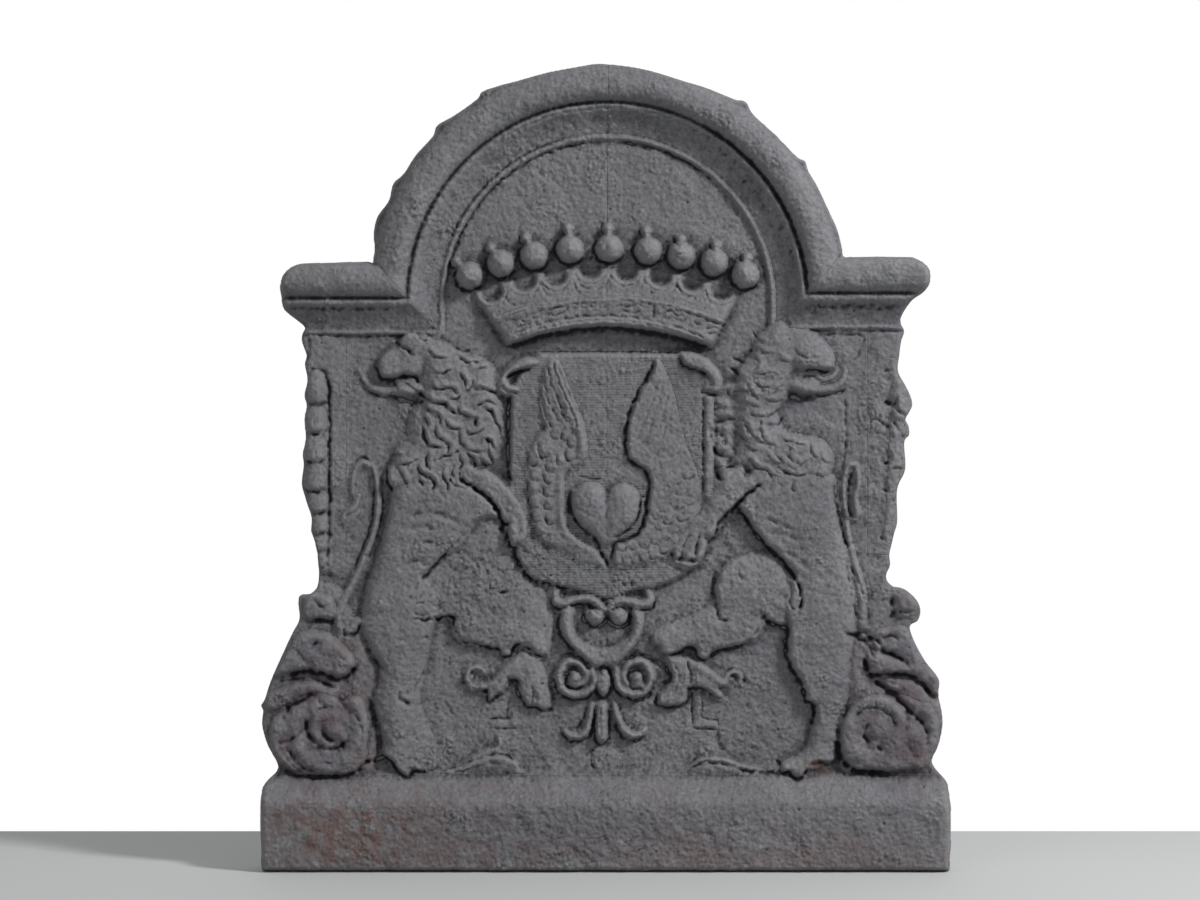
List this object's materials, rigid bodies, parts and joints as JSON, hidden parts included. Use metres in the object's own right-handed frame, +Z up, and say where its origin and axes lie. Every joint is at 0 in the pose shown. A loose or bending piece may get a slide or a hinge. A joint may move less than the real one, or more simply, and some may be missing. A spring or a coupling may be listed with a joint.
{
  "type": "fireback",
  "caption": "Arched cast-iron fireback on a plinth, with cornices and scroll consoles framing a coronet over a shield held by rampant lions.",
  "frame": {"origin": "middle of the plinth's flat foot", "axes": "+X to the viewer's right, +Z up, the ornament faces -Y and the flat back +Y"},
  "size_m": [0.687, 0.056, 0.8],
  "materials": {
    "iron": "as-cast, matt, sand-cast texture"
  },
  "bodies": {
    "root": {"back_plate": "iron", "plinth": "iron", "arch_left": "iron", "arch_right": "iron", "arch_bead": "iron", "cornice_left": "iron", "cornice_right": "iron", "pilaster_left": "iron", "pilaster_right": "iron", "husks_left": "iron", "husks_right": "iron", "console_left": "iron", "console_right": "iron", "volute_left": "iron", "volute_right": "iron", "console_leaf_left": "iron", "console_leaf_right": "iron", "coronet_band": "iron", "coronet_cups": "iron", "pearls_large": "iron", "pearls_small": "iron", "shield_field": "iron", "shield_ear_left": "iron", "shield_ear_right": "iron", "heart": "iron", "wing_left": "iron", "wing_right": "iron", "lion_body_left": "iron", "lion_body_right": "iron", "lion_mane_left": "iron", "lion_mane_right": "iron", "lion_tail_left": "iron", "lion_tail_right": "iron", "ground_left": "iron", "ground_right": "iron", "lyre_scroll": "iron", "lower_volutes": "iron", "centre_bud": "iron", "pendant": "iron", "spray_left": "iron", "spray_right": "iron", "fret_left": "iron", "fret_right": "iron"}
  },
  "joints": []
}
